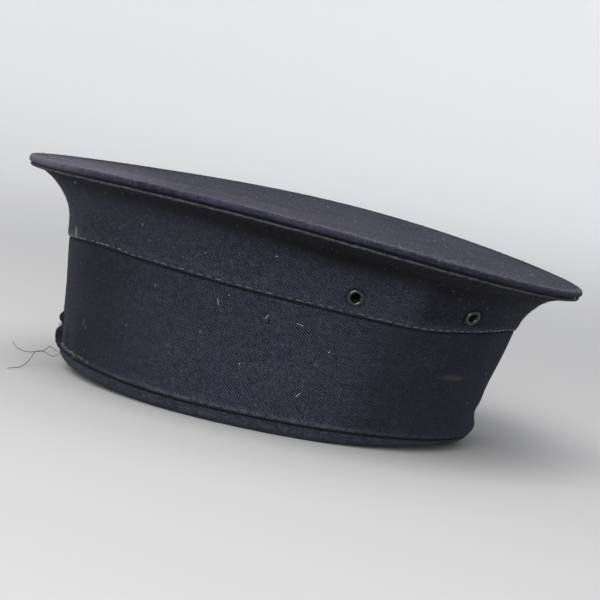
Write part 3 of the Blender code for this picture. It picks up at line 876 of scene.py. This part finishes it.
# The frayed row: short broken stitches that climb towards the front, and a tuft between the two lumps
frayLook = {"from": (133.0, 0.040), "to": (157.0, 0.050), "count": 52, "size": 0.00009, "length": 0.0024,
            "tuft": 16, "tuftAngle": (160.5, 0.9), "tuftHeight": (0.205, 0.012), "tuftSize": 0.00007}


def curlPaths(here, first, second, outward, lengths, bends, lift, steps):
    # short arcs lying on the cloth: each runs along its first direction, bends towards the second and sinks
    # at both ends
    along = np.linspace(-0.5, 0.5, steps)[None, :] * lengths[:, None]
    aside = bends[:, None] * (np.linspace(-1, 1, steps)[None, :] ** 2 - 0.4) * lengths[:, None]
    rise = lift * (1 - np.linspace(-1, 1, steps)[None, :] ** 2 * 1.3)
    return (here[:, None] + first[:, None] * along[..., None] + second[:, None] * aside[..., None]
            + outward[:, None] * rise[..., None])


def spun(first, second, turns):
    # the two directions turned together by the given angles
    cosine, sine = np.cos(turns)[:, None], np.sin(turns)[:, None]
    return first * cosine + second * sine, second * cosine - first * sine


def makeFray():
    # stitches along a straight line of angle and height, each an arc turned at random; the tuft's strands
    # lean out of the cloth and bend with the square of the way along them
    look = frayLook
    count = look["count"]
    along = np.sort(rng.uniform(0, 1, count))
    angles = np.radians(look["from"][0] + (look["to"][0] - look["from"][0]) * along)
    shares = look["from"][1] + (look["to"][1] - look["from"][1]) * along + rng.normal(0, 0.008, count)
    here, around, up, outward = faceFrames(bandFace, angles, shares)
    first, second = spun(around, up, rng.normal(0.1, 0.6, count))
    lengths = look["length"] * rng.uniform(0.4, 1.0, count)
    paths = curlPaths(here, first, second, outward, lengths, rng.normal(0, 0.25, count), 0.0009, 9)
    sizes = look["size"] * rng.uniform(0.6, 1.3, count)
    tones = rng.uniform(0.25, 0.85, count)
    material = threadMaterial("frayedThread", (0.008, 0.009, 0.012), (0.105, 0.100, 0.095))
    strandMesh("frayedStitches", paths, sizes, tones, material)
    count = look["tuft"]
    here, around, up, outward = faceFrames(bandFace, np.radians(rng.normal(*look["tuftAngle"], count)),
                                           rng.normal(*look["tuftHeight"], count))
    steps = np.linspace(0, 1, 7)[None, :, None]
    lean = outward + around * rng.normal(0, 0.3, count)[:, None] + up * rng.normal(0.1, 0.4, count)[:, None]
    paths = here[:, None] + lean[:, None] * steps * rng.uniform(0.0012, 0.0030, count)[:, None, None]
    paths = paths - up[:, None] * steps ** 2 * rng.uniform(-0.0006, 0.0010, count)[:, None, None]
    strandMesh("frontTuft", paths, np.full(count, look["tuftSize"]), rng.uniform(0, 0.5, count), material)


# The loose thread: two strands leave the binding's edge, cross, twist together and part again. Each row is a
# place in millimetres ahead of the exit, above it and nearer the left side.
looseLook = {
    "exit": (0.0335, -0.1000, 0.0083), "size": 0.00020,
    "upper": ((-0.8, -0.2, -1.0), (0.9, 0.5, 0.0), (3.2, 1.7, 0.4), (5.2, 2.6, 0.6), (6.0, 1.6, 0.5),
              (7.9, -0.1, 0.2), (10.0, -0.9, -0.1), (12.0, -1.4, 0.2), (14.2, -1.9, 0.4), (16.5, -1.9, 0.6),
              (19.1, -1.4, 0.9), (21.0, -0.4, 1.1), (22.4, 0.9, 1.2), (22.9, 2.2, 1.3)),
    "lower": ((-0.8, -0.3, -1.0), (0.8, -0.9, 0.2), (2.1, -1.8, 0.5), (4.4, -1.7, 0.4), (7.3, -0.6, 0.1),
              (9.9, -0.6, 0.3), (11.6, -1.5, 0.0), (12.5, -3.2, 0.9), (13.3, -5.2, 3.0), (14.4, -6.9, 7.0),
              (16.0, -7.9, 12.0), (17.8, -8.0, 17.0), (19.4, -8.0, 21.0), (20.2, -8.0, 23.5)),
}


def softPath(places, steps):
    # a smooth path through a few places, as a curve of each coordinate over the distance travelled
    places = np.array(places)
    travelled = np.concatenate([[0], np.cumsum(np.linalg.norm(np.diff(places, axis=0), axis=1))])
    shares = np.linspace(0, travelled[-1], steps)
    return np.stack([softRows(shares, travelled, places[:, axis]) for axis in range(3)], axis=-1)


def makeLooseThread():
    # two smooth paths through their places, kept above the floor
    look = looseLook
    ahead, up, side = np.array([0.19, -0.98, 0.0]), np.array([0.0, 0.0, 1.0]), np.array([0.98, 0.19, 0.0])
    frameRows = np.stack([ahead, up, side])
    paths = np.stack([np.array(look["exit"]) + softPath(look[key], 90) @ frameRows / 1000
                      for key in ("upper", "lower")])
    paths[..., 2] = np.maximum(paths[..., 2], look["size"] * 1.1)
    material = threadMaterial("looseThread", (0.012, 0.013, 0.014), (0.050, 0.050, 0.048))
    strandMesh("looseThread", paths, np.full(2, look["size"]), np.array([0.4, 0.25]), material, 8)


# Lint: pale fibres lying on the wool. Placed ones have an angle, a share of the way up, a length and a lean.
lintLook = {
    "band": ((96.4, 0.845, 0.0034, 1.2), (94.2, 0.92, 0.0010, 0.3), (84.4, 0.825, 0.0026, 1.9),
             (99.4, 0.575, 0.0009, 0.0), (113.4, 0.83, 0.0010, 0.9), (72.3, 0.255, 0.0030, 2.3),
             (76.5, 0.825, 0.0036, 0.2), (149.8, 0.22, 0.0010, 0.5), (68.0, 0.66, 0.0014, 2.0),
             (88.0, 0.40, 0.0012, 1.0)),
    "crown": ((84.7, 0.56, 0.0009, 0.0), (137.1, 0.89, 0.0014, 0.4), (118.0, 0.50, 0.0012, 1.4),
              (101.0, 0.35, 0.0010, 2.0)),
    "counts": {"band": 60, "crown": 40, "top": 170}, "size": 0.000042, "reach": 0.985,
}


def topFrames(angles, shares):
    # places on the flat top, part of the way out to its rim
    rim = loopPoints(crownLoop, angles, -rollLook["reach"])
    here = topPlaces(rim, angles, shares) + (0, 0, rollLook["sheetRise"])
    outward, around = levelRound(angles)
    return here, around, -outward, np.broadcast_to([0.0, 0.0, 1.0], here.shape)


def clothFrames(key, angles, shares, reach):
    # frames on the band, the crown side or the flat top, where the shares are shares of its area
    if key == "top":
        return topFrames(angles, np.sqrt(shares) * reach)
    return faceFrames(bandFace if key == "band" else crownFace, angles, shares)


def makeLint():
    # the placed fibres and then scattered ones, each a short arc turned by its lean
    look = lintLook
    batches = []
    for key, count in look["counts"].items():
        chosen = np.array(look.get(key, ())).reshape(-1, 4)
        angles = np.concatenate([np.radians(chosen[:, 0]), rng.uniform(0, fullTurn, count)])
        shares = np.concatenate([chosen[:, 1], rng.uniform(0.06, 0.94, count)])
        here, around, up, outward = clothFrames(key, angles, shares, look["reach"])
        first, second = spun(around, up, np.concatenate([chosen[:, 3], rng.uniform(0, math.pi, count)]))
        lengths = np.concatenate([chosen[:, 2], 0.0005 + rng.gamma(1.4, 0.0006, count)])
        sizes = np.concatenate([np.full(len(chosen), 1.7), rng.uniform(0.5, 1.4, count)]) * look["size"]
        tones = np.concatenate([np.full(len(chosen), 0.80), rng.beta(1.1, 4.2, count)])
        lift = 0.0003 if key == "band" else 0.0001
        batches.append((here + outward * lift, first, second, outward, lengths, sizes, tones))
    here, first, second, outward, lengths, sizes, tones = (np.concatenate(rows) for rows in zip(*batches))
    bends = rng.normal(0, 0.13, len(tones))
    paths = curlPaths(here, first, second, outward, lengths, bends, 0.00012, 7)
    material = threadMaterial("paleLint", (0.035, 0.036, 0.040), (0.55, 0.55, 0.53))
    strandMesh("woolLint", paths, sizes, tones, material, 4)


# Nap: short fibres that stand up from the wool all over, and thickest along the top's edge roll
napLook = {"counts": {"band": 3200, "crown": 2800, "top": 5200, "roll": 2200}, "reach": 0.99,
           "size": 0.000034, "length": (0.00035, 0.00105), "rollTurn": (68, 20),
           "tones": {"band": 0.18, "crown": 0.11, "top": 0.55, "roll": 1.20},
           "stands": {"band": 0.8, "crown": 0.8, "top": 0.40, "roll": 0.34}}


def rollFrames(angles, turns):
    # places on the outer upper part of the edge roll
    here = loopPoints(crownLoop, angles, *rollSection(turns))
    level, around = levelRound(angles)
    outward = unit(level * np.cos(turns)[:, None] + np.array([0.0, 0.0, 1.0]) * np.sin(turns)[:, None])
    return here, around, np.cross(outward, around), outward


def makeNap():
    # each hair leaves the cloth along a random lean and bends aside with the square of the way along it
    look = napLook
    material = threadMaterial("woolNap", (0.012, 0.013, 0.019), (0.130, 0.130, 0.150))
    for key, count in look["counts"].items():
        angles, shares = rng.uniform(0, fullTurn, count), rng.uniform(0.03, 0.97, count)
        if key == "roll":
            frames = rollFrames(angles, np.radians(rng.normal(*look["rollTurn"], count)))
        else:
            frames = clothFrames(key, angles, shares, look["reach"])
        here, around, up, outward = frames
        first, second = spun(around, up, rng.uniform(0, fullTurn, count))
        lengths = rng.uniform(*look["length"], count)
        lean = outward * look["stands"][key] + first * rng.normal(0, 0.9, count)[:, None]
        steps = np.array([-0.25, 0.35, 1.0])[None, :, None]
        bent = lean[:, None] * steps + second[:, None] * steps ** 2 * 0.5
        paths = here[:, None] + bent * lengths[:, None, None]
        tones = rng.beta(1.2, 2.6, count) * look["tones"][key]
        strandMesh(f"{key}Nap", paths, look["size"] * rng.uniform(0.7, 1.3, count), tones, material, 4)


# Camera: it looks a little down at the cap's left side, from behind its middle, and is rolled as in the photo
cameraLook = {"distance": 0.8948, "elevation": 5.0, "azimuth": 10.691, "roll": 10.516, "aimHeight": 0.055,
              "lens": 110.83, "shiftRight": 7.62, "shiftDown": 4.96, "focalPixels": 1847.15}


def makeCamera():
    # the camera stands on a sphere round its aim, is turned by its roll, and looks aside by its shift
    look = cameraLook
    rise, turn, roll = (math.radians(look[key]) for key in ("elevation", "azimuth", "roll"))
    back = Vector((math.cos(rise) * math.cos(turn), math.cos(rise) * math.sin(turn), math.sin(rise)))
    level = Vector((-math.sin(turn), math.cos(turn), 0))
    upward = back.cross(level)
    right = math.cos(roll) * level + math.sin(roll) * upward
    top = -math.sin(roll) * level + math.cos(roll) * upward
    view = (-back + right * (look["shiftRight"] / look["focalPixels"])
            - top * (look["shiftDown"] / look["focalPixels"])).normalized()
    right = (right - view * right.dot(view)).normalized()
    camera = bpy.data.cameras.new("studioCamera")
    camera.lens = look["lens"]
    holder = placed("studioCamera", camera)
    place = Vector((0, 0, look["aimHeight"])) + look["distance"] * back
    turned = Matrix((right, (-view).cross(right), -view)).transposed().to_4x4()
    holder.matrix_world = Matrix.Translation(place) @ turned
    bpy.context.scene.camera = holder


# The backdrop's section, and its tint near the cap and at its wall
backdropLook = {
    "reach": (0.004, 1.2, 2.2, 2.9, 3.4, 3.75, 3.95, 4.0, 4.0),
    "rise": (0.0, 0.0, 0.0, 0.06, 0.22, 0.48, 0.80, 1.1, 1.4),
    "near": (0.31, 0.31, 0.313), "far": (0.93, 0.93, 0.94), "ramp": (0.4, 3.4),
}


def makeStudio():
    # a round floor that curves up into a low pale wall, the same from every side
    look = backdropLook
    shares, places = np.linspace(0, 1, 60), np.linspace(0, 1, len(look["reach"]))
    radius = softRows(shares, places, look["reach"])
    height = np.maximum(softRows(shares, places, look["rise"]), 0)
    turn = np.arange(96) * fullTurn / 96
    points = np.stack(np.broadcast_arrays(np.cos(turn)[:, None] * radius, np.sin(turn)[:, None] * radius,
                                          height[None, :]), -1)
    faces, turned = gridFaces(len(turn), len(shares), False)
    inner = np.arange(len(turn)) * len(shares)
    mesh = bpy.data.meshes.new("studioFloor")
    mesh.from_pydata(points.reshape(-1, 3).tolist(), [], faces[:, ::-1].tolist() + [inner.tolist()])
    mesh.shade_smooth()
    material, start = newMaterial("paleBackdrop")
    spread = start.objectPlace().vector("LENGTH", out=1)
    tint = spread.between(*look["ramp"]).tinted(look["near"], look["far"])
    finished(material, {"Base Color": tint, "Roughness": 0.95, "Specular IOR Level": 0.1})
    mesh.materials.append(material)
    placed("studioFloor", mesh)


# Each light's place, size, power and colour
lightLook = {
    "key": ((0.90, -0.25, 1.55), 1.7, 43.0, (1.0, 0.99, 0.97)),
    "fill": ((2.1, 0.05, 0.30), 1.7, 92.0, (1.0, 1.0, 1.0)),
    "edge": ((-0.75, -1.90, 0.80), 1.8, 14.0, (1.0, 1.0, 1.0)),
    "top": ((-0.9, 0.3, 1.9), 1.6, 12.0, (1.0, 1.0, 1.0)),
}


def makeLights():
    # round lights that face the cap, and an even pale sky
    for name, (place, size, power, tint) in lightLook.items():
        light = bpy.data.lights.new(name, "AREA")
        light.shape = "DISK"
        light.size, light.energy, light.color = size, power, tint
        holder = placed(name, light)
        holder.location = place
        holder.rotation_euler = (Vector((0, 0, 0.05)) - Vector(place)).to_track_quat("-Z", "Y").to_euler()
        holder.visible_camera = False
    world = bpy.data.worlds.new("softRoom")
    world.use_nodes = True
    sky = world.node_tree.nodes["Background"]
    sky.inputs[0].default_value, sky.inputs[1].default_value = (0.94, 0.96, 1.0, 1), 0.55
    bpy.context.scene.world = world
    bpy.context.scene.view_settings.view_transform = "Standard"


makeCamera()
makeStudio()
makeLights()
print("set the camera, the floor and", len(lightLook), "lights")
makeBinding()
makeBand()
makeCrownSide()
makeTop()
makeWelt()
makeEyelets()
makeTopstitches()
makeFray()
makeLooseThread()
makeLint()
makeNap()
